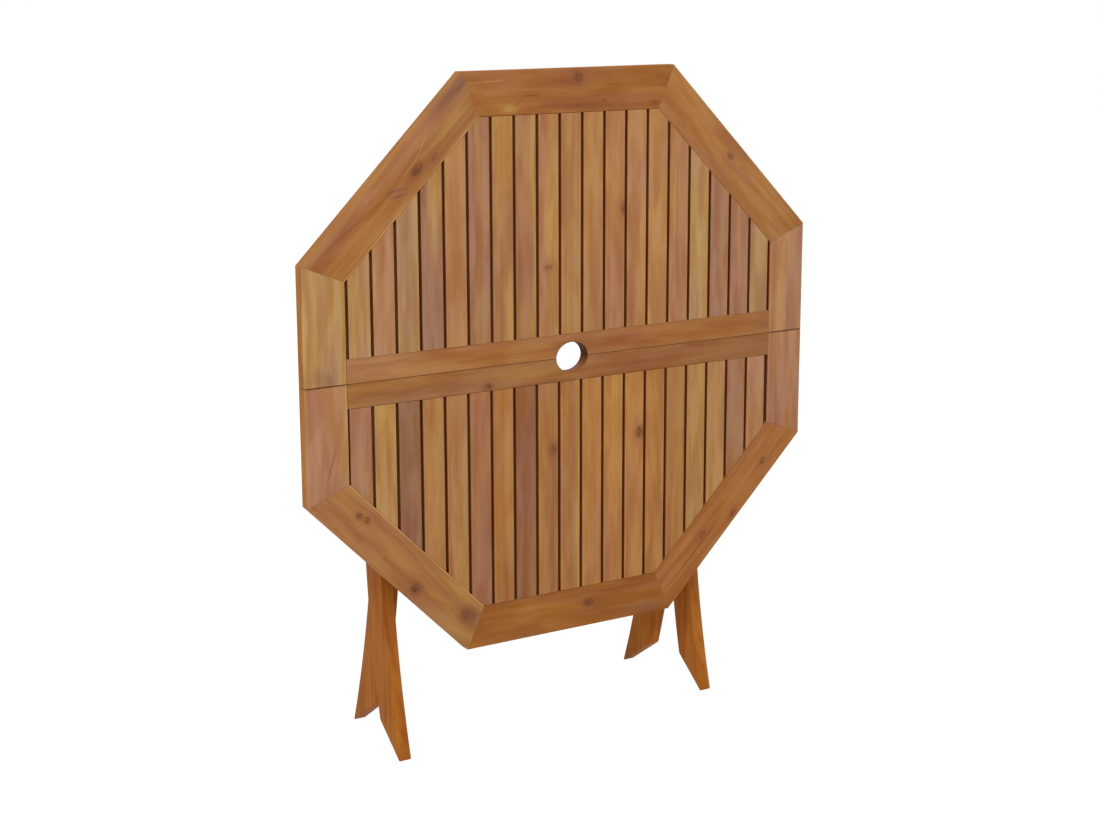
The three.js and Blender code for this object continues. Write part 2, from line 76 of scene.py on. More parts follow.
# Legs
PIVOT = np.array([107.3, 454.0])
HINGE = np.array([47.0, 861.0])
BOW = 1640.0  # radius of the legs' bow
OUTER_LEG, INNER_LEG, LEG_THICK = 50.0, 58.0, 20.5
OUTER_FACE, INNER_FACE = 296.0, 274.2
BATTEN_FACE, BATTEN_THICK, BATTEN_DEPTH = 252.2, 20.7, 50.0
FOOT_FLAT, TOE_CUT, HEEL_ROUND, LEG_ARRIS = 2.5, 1.2, 7.0, 1.4
OUTER_OPEN = math.radians(38.3)  # what the outer legs lean when the table is open
INNER_LEAN = math.radians(2.95)
BAR, BAR_SEAT, BAR_MARGIN, BAR_ROUND = 12.0, 5.3, 20.0, 1.2
STOP_LOW, STOP_HIGH, STOP_FACE, STOP_BACK = 302.0, 344.0, 70.3, 87.187
BRACE_THICK, BRACE_DEEP, STOP_ARRIS, BRACE_ARRIS = 18.0, 42.0, 0.8, 0.4
BATTEN_END, BATTEN_TAIL, BATTEN_HEAD = 14.0, 30.0, 80.0  # depth of its ends, length past notch and hinge
BATTEN_TAPER, HINGE_WALL, HINGE_HALF, BATTEN_ARRIS = 65.0, 12.5, 15.0, 1.6

# Bolts
BOLT, HEAD, HEAD_HIGH, NUT, NUT_HIGH, BOLT_END = 4.0, 9.0, 4.5, 7.5, 7.0, 2.0
PITCH, THREAD_DEEP = 1.25, 0.2
SLEEVE, WASHER, WASHER_THICK = 8.0, 14.0, 0.7


# ---- Surfaces


def in_frame(points):
    """Millimetres from the front face of the top and the floor, as metres in the model's frame."""
    out = np.asarray(points, float) * MM
    out[:, 1] += FRONT
    return out


def piece(name, points, faces, flat, body, finish, node):
    """One closed mesh from points and faces, its doubles merged and its normals turned outwards.

    flat lists the faces that are shaded flat. The piece rides on a body and replaces a node of the solids.
    """
    mesh = bpy.data.meshes.new(name)
    mesh.from_pydata(in_frame(points).tolist(), [], faces)
    shades = np.ones(len(mesh.polygons), bool)
    shades[flat] = False
    mesh.polygons.foreach_set("use_smooth", shades)
    work = bmesh.new()
    work.from_mesh(mesh)
    bmesh.ops.remove_doubles(work, verts=work.verts, dist=MERGED)
    bmesh.ops.recalc_face_normals(work, faces=work.faces)
    work.to_mesh(mesh)
    work.free()
    mesh.set_sharp_from_angle(angle=SHARP)
    thing = bpy.data.objects.new(name, mesh)
    bpy.context.scene.collection.objects.link(thing)
    mesh.materials.append(finish)
    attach(thing, body)
    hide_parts(node)


def loops(rings, closed_ends=True):
    """Quads between rings of equal length, each a closed loop, and an end face on the first and last."""
    count, size = len(rings), len(rings[0])
    start = np.arange(count - 1)[:, None] * size
    here = np.arange(size)[None, :]
    there = (here + 1) % size
    quads = np.stack([start + here, start + there, start + size + there, start + size + here], -1)
    faces = quads.reshape(-1, 4).tolist()
    flat = []
    if closed_ends:
        flat = [len(faces), len(faces) + 1]
        faces.append(list(range(size))[::-1])
        faces.append(list(range((count - 1) * size, count * size)))
    return faces, flat


def inset(corners, offsets):
    """Each edge of an anticlockwise outline moves in by its own offset.

    A corner goes to where its two moved edges cross, or straight in where they are in line.
    """
    edge = np.roll(corners, -1, 0) - corners
    edge /= np.linalg.norm(edge, axis=1)[:, None]
    normal = np.stack([-edge[:, 1], edge[:, 0]], -1)
    reach = (normal * corners).sum(1) + offsets
    before, reach_before = np.roll(normal, 1, 0), np.roll(reach, 1)
    area = before[:, 0] * normal[:, 1] - before[:, 1] * normal[:, 0]
    straight = np.abs(area) < 1e-7
    safe = np.where(straight, 1.0, area)
    crossed = np.stack(
        [
            (reach_before * normal[:, 1] - reach * before[:, 1]) / safe,
            (reach * before[:, 0] - reach_before * normal[:, 0]) / safe,
        ],
        -1,
    )
    shifted = corners + normal * np.broadcast_to(offsets, len(corners))[:, None]
    return np.where(straight[:, None], shifted, crossed)


def plate(outline, depth, front, back, middle=None, steps=6):
    """Rings down the thickness of a board.

    At a depth d each edge stands in by its quarter round, r - sqrt(r^2 - (r - d)^2), and between the
    two walls of a groove or tongue by its middle offset.
    """
    front = np.broadcast_to(np.asarray(front, float), len(outline))
    back = np.broadcast_to(np.asarray(back, float), len(outline))
    quarter = 1 - np.cos(np.linspace(0, math.pi / 2, steps + 1))
    depths = list(front.max() * quarter) + list(depth - back.max() * quarter[::-1])

    def edge(d):
        high = np.clip(front - d, 0, None)
        low = np.clip(back - (depth - d), 0, None)
        return front - np.sqrt(front**2 - high**2) + back - np.sqrt(back**2 - low**2)

    stack = [(d, edge(d)) for d in depths]
    if middle is not None:
        wide = GROOVE_WIDE if np.max(middle) == GROOVE else TONGUE_WIDE
        near, far = (depth - wide) / 2, (depth + wide) / 2
        walls = [(near, edge(near)), (near, middle), (far, middle), (far, edge(far))]
        stack = stack[: steps + 1] + walls + stack[steps + 1 :]
    return [(inset(outline, offsets), d) for d, offsets in stack]


def board(name, outline, front, back, middle, finish, node):
    """A flat board of the top, from an outline in x and z about the middle of the seam."""
    rings = plate(outline, THICK, front, back, middle)
    points = [np.column_stack([c[:, 0], np.full(len(c), d), c[:, 1] + CENTRE]) for c, d in rings]
    faces, flat = loops(points)
    piece(name, np.vstack(points), faces, flat, "top", finish, node)


def side_board(name, outline, x0, x1, arris, body, finish, slot):
    """A board on edge, from an outline in y and z and two places in x."""
    rings = plate(outline, x1 - x0, arris, arris)
    points = [np.column_stack([np.full(len(c), x0 + d), c]) for c, d in rings]
    faces, flat = loops(points)
    piece(name, np.vstack(points), faces, flat, body, finish, name)


def lathe(name, profile, centre, body, finish, sides=64, radius=None):
    """A profile of (x, r) turned round an axis along x; radius(turn, x, r) may shape it round the axis."""
    profile = np.asarray(profile, float)
    turn = np.linspace(0, 2 * math.pi, sides, endpoint=False)
    r = np.repeat(profile[:, 1:], sides, 1)
    x = np.repeat(profile[:, :1], sides, 1)
    if radius is not None:
        r = radius(turn[None, :], x, r)
    points = np.stack([x, centre[0] + r * np.cos(turn), centre[1] + r * np.sin(turn)], -1)
    faces, flat = loops(points, closed_ends=False)
    piece(name, points.reshape(-1, 3), faces, flat, body, finish, name)


# ---- Finishes


def colour(red, green, blue):
    """A display colour of 0 to 255 as linear light."""
    c = np.array([red, green, blue]) / 255
    linear = np.where(c <= 0.04045, c / 12.92, ((c + 0.055) / 1.055) ** 2.4)
    return tuple(linear) + (1.0,)


class Number:
    """A socket or a plain number of a finish: sums on it add math nodes."""

    def __init__(self, finish, socket):
        self.finish, self.socket = finish, socket

    def math(self, operation, *others):
        values = dict(enumerate((self,) + others))
        made = self.finish.node("ShaderNodeMath", {"operation": operation}, values)
        return Number(self.finish, made[0])

    def __add__(self, other):
        return self.math("ADD", other)

    def __sub__(self, other):
        return self.math("SUBTRACT", other)

    def __mul__(self, other):
        return self.math("MULTIPLY", other)

    def __truediv__(self, other):
        return self.math("DIVIDE", other)

    def __rsub__(self, other):
        return Number(self.finish, other).math("SUBTRACT", self)

    __radd__, __rmul__ = __add__, __mul__

    def fall(self):
        """exp(-x), from 1 where x is 0."""
        return Number(self.finish, math.e).math("POWER", self * -1.0)

    def step(self, low, high):
        """0 below low and 1 above high, smooth between."""
        settings = {"interpolation_type": "SMOOTHSTEP"}
        made = self.finish.node("ShaderNodeMapRange", settings, {0: self, 1: low, 2: high})
        return Number(self.finish, made[0])


class Finish:
    """A material, or the world, under construction."""

    def __init__(self, owner):
        self.owner = owner
        owner.use_nodes = True
        self.tree = owner.node_tree
        self.tree.nodes.clear()

    def node(self, kind, settings=None, values=None):
        """A node with its settings, then its sockets' values or links. Gives its outputs."""
        made = self.tree.nodes.new(kind)
        for key, value in (settings or {}).items():
            setattr(made, key, value)
        for key, value in (values or {}).items():
            if isinstance(value, Number):
                value = value.socket
            if isinstance(value, bpy.types.NodeSocket):
                self.tree.links.new(value, made.inputs[key])
            else:
                made.inputs[key].default_value = value
        return made.outputs

    def dot(self, vector, axis):
        settings = {"operation": "DOT_PRODUCT"}
        return Number(self, self.node("ShaderNodeVectorMath", settings, {0: vector, 1: axis})["Value"])

    def vector(self, x, y, z):
        return self.node("ShaderNodeCombineXYZ", None, {0: x, 1: y, 2: z})[0]

    def noise(self, vector, detail=2.0, roughness=0.5):
        values = {"Vector": vector, "Scale": 1.0, "Detail": detail, "Roughness": roughness}
        return Number(self, self.node("ShaderNodeTexNoise", None, values)[0])

    def mix(self, share, first, second):
        """The first colour where the share is 0 and the second where it is 1."""
        settings = {"data_type": "RGBA"}
        return self.node("ShaderNodeMix", settings, {0: share, 6: first, 7: second})[2]

    def deepen(self, tint, value):
        """A colour times a value near 1. Dark wood is redder too: red falls least and blue most."""
        powers = self.vector(*[value.math("POWER", power) for power in DEEPENING])
        return self.node("ShaderNodeVectorMath", {"operation": "MULTIPLY"}, {0: tint, 1: powers})[0]

    def surface(self, base, roughness, height=None, **fixed):
        """The finished material: a principled shader whose other sockets are given by name."""
        values = {"Base Color": base, "Roughness": roughness}
        values.update({key.replace("_", " "): value for key, value in fixed.items()})
        if height is not None:
            bump = {"Strength": 0.5, "Distance": BUMP, "Height": height}
            values["Normal"] = self.node("ShaderNodeBump", None, bump)[0]
        shader = self.node("ShaderNodeBsdfPrincipled", None, values)[0]
        self.node("ShaderNodeOutputMaterial", None, {0: shader})
        return self.owner


def material(name):
    """A finish for a new material."""
    return Finish(bpy.data.materials.new(name))


BUMP = 0.00008  # metres
TONES = {
    "gold": (176, 130, 76),
    "tan": (172, 121, 76),
    "orange": (168, 114, 66),
    "pale": (172, 130, 88),
    "pink": (170, 120, 86),
    "red": (158, 105, 72),
    "brown": (164, 114, 74),
    "mauve": (156, 110, 82),
    "amber": (162, 108, 64),
    "russet": (154, 97, 53),
    "rust": (150, 92, 44),
    "copper": (168, 99, 36),
}
DEEPENING = (0.54, 1.0, 1.46)  # powers of a darkening in red, green and blue
GOLDEN, ROSE, PLUM = (182, 138, 72), (166, 108, 78), (128, 88, 72)
UMBER, HONEY, FLAME = (92, 54, 38), (204, 156, 92), (178, 114, 42)
DUSK, CLAY, BRICK = (116, 74, 56), (150, 84, 56), (146, 82, 54)
BARK, HEATHER, SAND = (146, 94, 56), (146, 94, 76), (168, 112, 78)
KNOT_HALO = (140, 84, 56)
GAP_PAINTED_SHADE, HOLE_PAINTED_SHADE, HOLE_PAINTED_LIGHT = (116, 56, 23), (84, 52, 26), (146, 88, 50)  # painted shade on the side walls between boards and on the hole's upper wall, painted light on its lower wall
OIL = np.array([0.988, 1.01, 1.005])  # what the oil does to the bare tones in red, green and blue
GOLDEN_SIDE, ROSY_SIDE = np.array([0.05, 0.07, -0.09]), np.array([-0.05, -0.07, 0.09])  # changes of a tone
SEED_STEP = 17.31  # how far apart two boards lie in the noise

# Noise of the wood: per mm along and across the grain, shift, detail, roughness, low and high.
HUE = (0.0062, 0.042, 0.0, 1.0, 0.5, 0.34, 0.66)
DIM = (0.0040, 0.05, 7.7, 1.0, 0.5, 0.5, 0.78)
CLOUD = (0.011, 0.058, 3.3, 2.0, 0.5, 0.34, 0.66)
STREAK = (0.0018, 0.17, 0.0, 2.0, 0.5, 0.56, 0.74)
FIBRE = (0.009, 0.55, 0.0, 3.0, 0.6, 0.25, 0.75)
PORES = (0.04, 1.4, 0.0, 2.0, 0.5, 0.6, 0.74)
DRIFT_LONG, DRIFT_WIDE, DRIFT = 0.004, 0.011, 16.0  # how the grain wanders
RING_DRIFT, RING_TILT, RING_EDGE = 9.0, 0.018, 2.2
KNOT_REACH, KNOT_BEND, KNOT_EDGE, KNOT_SOFT = 0.22, 0.8, 0.9, 0.6
LIGHTEST, RING_DEPTH, END_DEPTH = 1.22, 0.28, 0.22
DEPTHS = (0.12, 0.07, 0.08, 0.28, 0.14)  # what streaks, fibres, pores, clouds and dim places take off


def rgba(tone, shift=(1, 1, 1)):
    """A named tone or display colour, oiled and shifted, for a socket."""
    tone = TONES.get(tone, tone) if isinstance(tone, str) else tone
    return (*(np.array(colour(*tone)[:3]) * OIL * shift).tolist(), 1.0)


def wood(
    name,
    along,
    across,
    middle,
    tone,
    light,
    seed,
    rings,
    pith,
    figure=0.3,
    zones=1.0,
    edges=(),
    bands=(),
    patches=(),
    knots=(),
    lines=(),
    hole=None,
):
    """Oiled hardwood of one board, solid through its thickness, in millimetres from its middle.

    u runs along the grain, a across it and d through it. Long clouds of noise move the tone between a
    golden and a rosy side; shorter clouds, narrow streaks, fibres and pores, all noise drawn out along
    u, deepen it. Growth rings are sines of the distance sqrt((a - pith)^2 + (d + depth + tilt u)^2)
    over the ring width. All are bent round the knots, and end grain is darker.

    edges are (a, kind), bands (a, half width, colour, share), patches (u, a, half length, half width,
    colour, share), knots (u, a, half length, half width, share) and lines (u, a, slope, curve, half
    length, half width, colour, share). Bands and patches fade out as exp(-x^2), knots and the ends of
    lines as exp(-x^4). hole is the a of the middle of the oval umbrella hole.
    """
    f = material(name)
    place = f.node("ShaderNodeTexCoord")["Object"]
    along, across = np.array(along, float), np.array(across, float)
    through = np.cross(along, across)
    middle = np.array(middle, float) * MM + np.array([0, FRONT, 0])
    u = f.dot(place, tuple(along / MM)) - float(along @ middle / MM)
    a = f.dot(place, tuple(across / MM)) - float(across @ middle / MM)
    d = f.dot(place, tuple(through / MM)) - float(through @ middle / MM)
    s = seed * SEED_STEP
    drift = f.noise(f.vector(u * DRIFT_LONG + s, a * DRIFT_WIDE, d * DRIFT_WIDE), 1.0) - 0.5
    bent = a + drift * DRIFT
    core = halo = None
    for knot_u, knot_a, long, wide, share in knots:
        du, da = (u - knot_u) / long, (a - knot_a) / wide
        square = du * du + da * da
        near = (square * KNOT_REACH).fall()
        bent = bent - (a - knot_a) * near * KNOT_BEND
        dark, soft = (square * square * KNOT_EDGE).fall() * share, near * (share * KNOT_SOFT)
        core = dark if core is None else core.math("MAXIMUM", dark)
        halo = soft if halo is None else halo.math("MAXIMUM", soft)
    side, deep = bent - pith[0], d + pith[1] + u * RING_TILT
    radius = (side * side + deep * deep).math("SQRT")
    late = (radius * (2 * math.pi / rings) + drift * RING_DRIFT).math("SINE") * 0.5 + 0.5
    late = late.math("POWER", RING_EDGE)
    hue, dim, cloud, streak, fibre, pores = [
        f.noise(f.vector(u * long + s + shift, bent * wide, d * wide), detail, rough).step(low, high)
        for long, wide, shift, detail, rough, low, high in (HUE, DIM, CLOUD, STREAK, FIBRE, PORES)
    ]
    rosy, golden = [rgba(tone, (side * zones + 1) * light) for side in (ROSY_SIDE, GOLDEN_SIDE)]
    base = f.mix(hue, rosy, golden)
    for spot, wide, tint, share in bands:
        off = (bent - spot) / wide
        base = f.mix((off * off).fall() * share, base, rgba(tint))
    for spot_u, spot_a, long, wide, tint, share in patches:
        du, da = (u - spot_u) / long, (bent - spot_a) / wide
        base = f.mix((du * du + da * da).fall() * share, base, rgba(tint))
    for spot_u, spot_a, slope, curve, long, wide, tint, share in lines:
        run = u - spot_u
        off, end = (a - spot_a - run * slope - run * run * curve) / wide, run * run / (long * long)
        base = f.mix((off * off + end * end).fall() * share, base, rgba(tint))
    value = LIGHTEST - late * (figure * RING_DEPTH)
    for layer, depth in zip((streak, fibre, pores, cloud, dim), DEPTHS):
        value = value - layer * depth
    # The steps at an edge are millimetres out past it and down from the front face.
    for where, kind in edges:
        out, front = (a - where) * math.copysign(1.0, where), d + THICK / 2
        if kind == "gap":
            # Painted highlight on the front arris, and painted shade on the side wall below it, between two
            # boards.
            value = value + out.step(-2.4, -1.2) * (1.0 - front.step(0.7, 1.6)) * 0.10
            base = f.mix(out.step(-1.0, -0.2) * front.step(0.7, 2.4), base, rgba(GAP_PAINTED_SHADE))
        elif kind == "outer":
            side = out.step(-1.2, -0.2) * front.step(1.2, 2.4)
            base = f.mix(side * 0.85, base, rgba(FLAME))
            # Painted highlight on the front arris; the orange of the side face is the edge grain's own
            # colour.
            value = value + out.step(-3.2, -1.4) * (1.0 - side) * 0.08
        elif kind == "bright":
            # Painted highlight: a light line along the inner front arris.
            base = f.mix(out.step(-2.8, -1.4) * 0.75, base, rgba(HONEY))
        else:
            # Painted shade: a darker line along the inner edge, where the joint to the slats is shaded.
            value = value * (1.0 - out.step(-1.6, -0.5) * 0.2)
    if hole is not None:
        up = a - hole
        over, high = (u - HOLE_SHIFT) / HOLE_WIDE, up / HOLE_HIGH
        wall = 1.0 - (over * over + high * high).math("SQRT").step(1.015, 1.07)
        # The hole's wall gets painted shade on its upper part, which faces down, and painted light on its
        # lower part, which faces up.
        tint = f.mix(up.step(-18.0, 4.0), rgba(HOLE_PAINTED_LIGHT), rgba(HOLE_PAINTED_SHADE))
        base = f.mix(wall * (d + THICK / 2).step(0.4, 2.4), base, tint)
    end = f.dot(f.node("ShaderNodeTexCoord")["Normal"], tuple(along))
    value = value - (end * end).step(0.3, 0.8) * END_DEPTH
    base = f.deepen(base, value)
    if core is not None:
        grit = f.noise(f.vector(u * 0.15 + s, a * 0.28, d * 0.28), 2.0).step(0.36, 0.6) * 0.6 + 0.4
        base = f.mix(halo, base, rgba(KNOT_HALO))
        base = f.mix(core * grit, base, rgba(UMBER))
    rough = fibre * 0.06 + pores * 0.08 + 0.5
    return f.surface(base, rough, fibre * 0.6 + late * 0.3 - pores * 0.5, Specular_IOR_Level=0.04)


# ---- Top


def crossing(first, first_reach, second, second_reach):
    """Where the lines p.first = first_reach and p.second = second_reach cross."""
    return np.linalg.solve(np.array([first, second]), np.array([first_reach, second_reach]))


OUTS = [np.array([math.cos(k * math.pi / 4), math.sin(k * math.pi / 4)]) for k in range(8)]
SLANT = (TOP_WIDTH / 2 + TOP_HEIGHT / 2 - CORNER_CUT) / math.sqrt(2)
REACH = [TOP_WIDTH / 2, SLANT, TOP_HEIGHT / 2, SLANT] * 2  # from the middle to each side
WIDTH = [STILE, DIAGONAL, END_RAIL, DIAGONAL] * 2


def member(k, half):
    """Outline and edge kinds of one side of the octagon: outer edge, mitre, inner edge, mitre."""
    i, j = (k - 1) % 8, (k + 1) % 8
    outer = [crossing(OUTS[i], REACH[i], OUTS[k], REACH[k]), crossing(OUTS[k], REACH[k], OUTS[j], REACH[j])]
    inner = [
        crossing(OUTS[k], REACH[k] - WIDTH[k], OUTS[j], REACH[j] - WIDTH[j]),
        crossing(OUTS[i], REACH[i] - WIDTH[i], OUTS[k], REACH[k] - WIDTH[k]),
    ]
    outline = inset(np.array(outer + inner), np.array([0, JOINT / 2, 0, JOINT / 2]))
    ease = [OUTER_ROUND, EASE, ARRIS, EASE]
    if k % 4 == 0:
        near = [0, 3] if (k == 0) == (half > 0) else [1, 2]
        outline[near, 1] = half * SEAM
        ease[3 if near == [0, 3] else 1] = SEAM_ROUND
    return outline, np.array(ease)


def grain(k):
    """The unit vectors along and across a side of the octagon."""
    return (-OUTS[k][1], 0, OUTS[k][0]), (OUTS[k][0], 0, OUTS[k][1])


# Side of the octagon, half and look of each board of the frame.
# On their inner edges the end rails and right diagonals carry a line of painted shade, the left diagonals a
# painted highlight, and the stiles painted shade between boards with a painted highlight on the arris.
FRAMING = {
    "upper_end_rail": (2, 1, dict(tone="russet", light=1.03, seed=1, rings=11, pith=(10, 26),
        edges=[(33, "outer"), (-33, "dark")],
        knots=[(-11, 19, 10, 8, 0.75), (-175, 10, 4, 3, 0.4), (-151, -25, 6, 4, 0.4),
               (-59, -17, 5, 3, 0.35)],
        patches=[(106, -26, 14, 6, GOLDEN, 0.8), (150, 4, 60, 9, "orange", 0.4),
                 (-20, -25, 42, 6, UMBER, 0.28)],
        lines=[(72, -5, 0.0, 0.0, 16, 1.7, UMBER, 0.55), (94, -16, -0.6, 0.02, 8, 1.8, UMBER, 0.3),
               (150, 17, -0.04, 0.0, 34, 1.2, HONEY, 0.3)])),
    "upper_right_diagonal": (1, 1, dict(tone="amber", light=1.02, seed=2, rings=10, pith=(-8, 30),
        edges=[(33.5, "outer"), (-33.5, "dark")],
        knots=[(4, 9, 8, 6, 0.6), (-29, 11, 6, 4, 0.2)],
        patches=[(-110, -8, 60, 16, "orange", 0.4)])),
    "upper_left_diagonal": (3, 1, dict(tone="amber", light=1.0, seed=3, rings=9, pith=(14, 24),
        edges=[(33.5, "outer"), (-33.5, "bright")],
        knots=[(-34, -10, 13, 7, 0.75), (-67, -19, 7, 3.5, 0.55)],
        patches=[(-168, 22, 30, 10, PLUM, 0.85), (-128, 22, 36, 9, PLUM, 0.7), (-80, 22, 50, 10, ROSE, 0.6),
                 (60, 20, 70, 12, ROSE, 0.4), (-120, -8, 50, 12, GOLDEN, 0.45),
                 (10, -10, 14, 7, SAND, 0.7)],
        lines=[(90, 10, 0.157, 0.0, 70, 1.2, UMBER, 0.35), (-45, 2, -0.2, 0.004, 32, 1.3, HONEY, 0.35),
               (10, -5, 0.62, -0.008, 15, 1.9, PLUM, 0.8),
               (10, -16, 0.62, 0.012, 13, 1.9, PLUM, 0.8)])),
    "upper_right_stile": (0, 1, dict(tone="pink", light=1.0, seed=4, rings=12, pith=(30, 40),
        edges=[(33.75, "outer"), (-33.75, "gap")],
        bands=[(25, 7, "mauve", 0.5), (-8, 7, GOLDEN, 0.3)])),
    "upper_left_stile": (4, 1, dict(tone="pale", light=1.05, seed=5, rings=12, pith=(-34, 36),
        edges=[(33.75, "outer"), (-33.75, "gap")],
        bands=[(24, 8, GOLDEN, 0.4), (4, 7, "pink", 0.5), (-28, 5, GOLDEN, 0.6)],
        patches=[(68, 6, 13, 20, PLUM, 0.4), (74, -8, 9, 6, PLUM, 0.5)])),
    "lower_end_rail": (6, -1, dict(tone="rust", light=1.0, seed=6, rings=10, pith=(6, 28),
        edges=[(33, "outer"), (-33, "dark")],
        knots=[(32, -5, 10, 7, 0.7)],
        patches=[(130, 20, 46, 10, PLUM, 0.45), (-70, 2, 70, 18, GOLDEN, 0.3)])),
    "lower_right_diagonal": (7, -1, dict(tone="russet", light=1.08, seed=7, rings=13, pith=(-20, 20),
        edges=[(33.5, "outer"), (-33.5, "dark")],
        knots=[(106, 8, 8, 5.5, 0.7), (6, 23, 7, 5, 0.6), (-57, -1, 8, 5, 0.6)],
        lines=[(88, 7, 0.05, 0.0, 16, 1.8, UMBER, 0.4), (-95, 7, 0.02, -0.0004, 74, 1.8, UMBER, 0.45)],
        patches=[(60, -14, 60, 12, "orange", 0.4)])),
    "lower_left_diagonal": (5, -1, dict(tone="amber", light=0.98, seed=8, rings=11, pith=(12, 26),
        edges=[(33.5, "outer"), (-33.5, "bright")],
        knots=[(-112, -9, 6, 5, 0.8), (-98, -12, 6, 5, 0.8), (42, 17, 9, 9, 0.85),
               (140, -4, 8, 7, 0.42), (155, -9, 6, 5, 0.42)],
        patches=[(147, -7, 17, 13, DUSK, 0.7), (150, 20, 50, 12, GOLDEN, 0.4),
                 (90, -24, 70, 9, GOLDEN, 0.45), (-60, -2, 40, 10, ROSE, 0.45)],
        lines=[(40, -14, 0.12, 0.0, 50, 1.2, UMBER, 0.22), (60, -22, 0.1, 0.0, 44, 1.2, UMBER, 0.2)])),
    "lower_right_stile": (0, -1, dict(tone="pink", light=0.96, seed=9, rings=12, pith=(28, 40),
        edges=[(33.75, "outer"), (-33.75, "gap")],
        bands=[(10, 8, "orange", 0.4)])),
    "lower_left_stile": (4, -1, dict(tone="pink", light=1.02, seed=10, rings=12, pith=(-30, 44),
        edges=[(33.75, "outer"), (-33.75, "gap")],
        bands=[(-31, 3.5, GOLDEN, 0.7), (12, 12, "pink", 0.6)],
        patches=[(74, -3, 16, 18, "red", 0.6)],
        lines=[(35, -6, 0.3, 0.0, 24, 1.7, UMBER, 0.4)])),
}

for name, (k, half, look) in FRAMING.items():
    outline, ease = member(k, half)
    centre = outline.mean(0)
    along, across = grain(k)
    if k % 4 == 0:  # a dark line painted across the end of a stile at the seam
        seam = (half * SEAM - centre[1]) * along[2]
        look["patches"] = [*look.get("patches", []), (seam, 0, 1.0, 60, UMBER, 0.75)]
    finish = wood(name, along, across, (centre[0], THICK / 2, centre[1] + CENTRE), **look)
    back = np.minimum(ease, [OUTER_ROUND, BACK_EASE, 1, BACK_EASE])
    board(name, outline, ease, back, np.array([0, 0, GROOVE, 0]), finish, name)


def mid_rail(half):
    """A rail along the seam. Its notch is half an oval: a pole's round hole, worn wide along the seam."""
    long = TOP_WIDTH / 2 - STILE - JOINT
    low = math.asin(SEAM / HOLE_HIGH)
    steps = 48
    turn = np.linspace(math.pi - low, low, steps + 1)
    arc = np.column_stack([HOLE_SHIFT + HOLE_WIDE * np.cos(turn), HOLE_HIGH * np.sin(turn)])
    outline = np.vstack([[-long, SEAM], arc, [long, SEAM], [long, MID_RAIL], [-long, MID_RAIL]])
    ease = np.array([SEAM_ROUND] + [HOLE_ROUND] * steps + [SEAM_ROUND, EASE, ARRIS, EASE])
    groove = np.zeros(len(outline))
    groove[-2] = GROOVE
    if half < 0:
        outline = (outline * [1, -1])[::-1]
        ease, groove = np.roll(ease[::-1], -1), np.roll(groove[::-1], -1)
    return outline, ease, groove


for word, half, look in [
    ("upper", 1, dict(tone="amber", light=1.0, seed=11, rings=14, pith=(-10, 50), figure=0.5,
        patches=[(-350, 0, 60, 30, "pink", 0.6), (-180, 0, 110, 22, "orange", 0.5),
                 (374, -4, 22, 8, PLUM, 0.5), (240, 2, 150, 28, "russet", 0.8), (110, 4, 40, 9, CLAY, 0.6)],
        lines=[(-120, -4, 0.02, 0.0, 120, 1.1, UMBER, 0.22), (60, 5, -0.02, 0.0, 90, 1.1, UMBER, 0.22)])),
    ("lower", -1, dict(tone="amber", light=0.88, seed=12, rings=14, pith=(12, 40), figure=0.4,
        knots=[(-148, -11, 8, 5.5, 0.65)],
        patches=[(240, 0, 150, 28, BARK, 0.8), (150, -4, 60, 8, BRICK, 0.5)])),
]:
    outline, ease, groove = mid_rail(half)
    name = word + "_mid_rail"
    place = (0, THICK / 2, CENTRE + half * MID_RAIL / 2)
    finish = wood(name, (1, 0, 0), (0, 0, 1), place, hole=-half * MID_RAIL / 2, **look)
    board(name, outline, ease, np.minimum(ease, HOLE_ROUND), groove, finish, name)


def clip(outline, normal, reach):
    """The part of a convex outline where p.normal <= reach."""
    kept = []
    for here, there in zip(outline, outline[1:] + outline[:1]):
        a, b = here @ normal - reach, there @ normal - reach
        if a <= 0:
            kept.append(here)
        if a * b < 0:
            kept.append(here + (there - here) * (a / (a - b)))
    return kept


def slat_outline(index, half):
    """A slat cut to the frame's inner sides, which of its edges are upright, and its middle in x."""
    start = -TOP_WIDTH / 2 + STILE + GAP + index * (SLAT + GAP) - (0 if half > 0 else LOWER_SHIFT)
    end, far = start + SLAT, TOP_HEIGHT
    outline = [np.array(p, float) for p in [(start, -far), (end, -far), (end, far), (start, far)]]
    outline = clip(outline, np.array([0.0, -half]), -MID_RAIL - JOINT)
    for k in (1, 2, 3) if half > 0 else (5, 6, 7):
        outline = clip(outline, OUTS[k], REACH[k] - WIDTH[k] - JOINT)
    outline = np.array(outline)
    upright = np.abs((np.roll(outline, -1, 0) - outline)[:, 0]) < 1e-6
    return outline, upright, start + SLAT / 2


